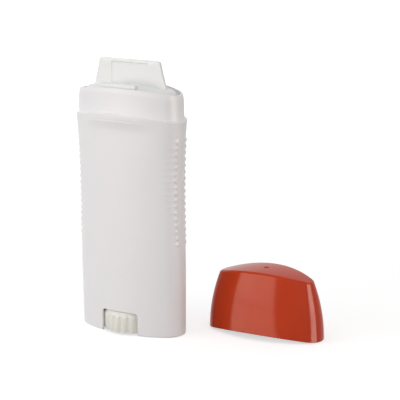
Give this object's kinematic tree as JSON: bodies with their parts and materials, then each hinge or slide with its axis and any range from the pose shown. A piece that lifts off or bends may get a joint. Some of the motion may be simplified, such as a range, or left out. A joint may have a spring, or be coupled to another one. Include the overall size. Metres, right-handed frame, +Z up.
{
  "type": "twist-up deodorant balm container",
  "caption": "Empty oval twist-up balm container: waisted white barrel with bead grips, fluted dial and lead screw, elevator, pull-tab seal, and a red cap standing beside it.",
  "frame": {"origin": "centre of the barrel's base, on the plane of its foot", "axes": "+Z up along the dial's axis, +X across the barrel's width towards the cap, -Y towards the front face"},
  "size_m": [0.1254, 0.0571, 0.1383],
  "materials": {
    "barrel": "satin",
    "dial": "satin",
    "elevator": "satin",
    "seal": "satin",
    "cap": "gloss"
  },
  "bodies": {
    "barrel_body": {"barrel": "barrel"},
    "dial_body": {"dial_screw": "dial"},
    "elevator_body": {"elevator": "elevator"},
    "seal_body": {"seal": "seal"},
    "cap_body": {"cap": "cap"}
  },
  "joints": [
    {"name": "dial_turn", "type": "hinge", "parent": "barrel_body", "child": "dial_body", "pos_m": [0, 0, 0.0124], "axis": [0, 0, -1], "range_deg": [0, 10440]},
    {"name": "elevator_lift", "type": "slide", "parent": "barrel_body", "child": "elevator_body", "axis": [0, 0, 1], "range_m": [0, 0.087]},
    {"name": "seal_pull", "type": "slide", "parent": "barrel_body", "child": "seal_body", "axis": [0, 0, 1], "range_m": [0, 0.02]},
    {"name": "cap_lift", "type": "slide", "parent": "barrel_body", "child": "cap_body", "axis": [0, 0, 1], "range_m": [0, 0.04]}
  ],
  "couplings": [
    {"joint": "elevator_lift", "follows": "dial_turn", "m_per_rad": 0.00047746}
  ]
}
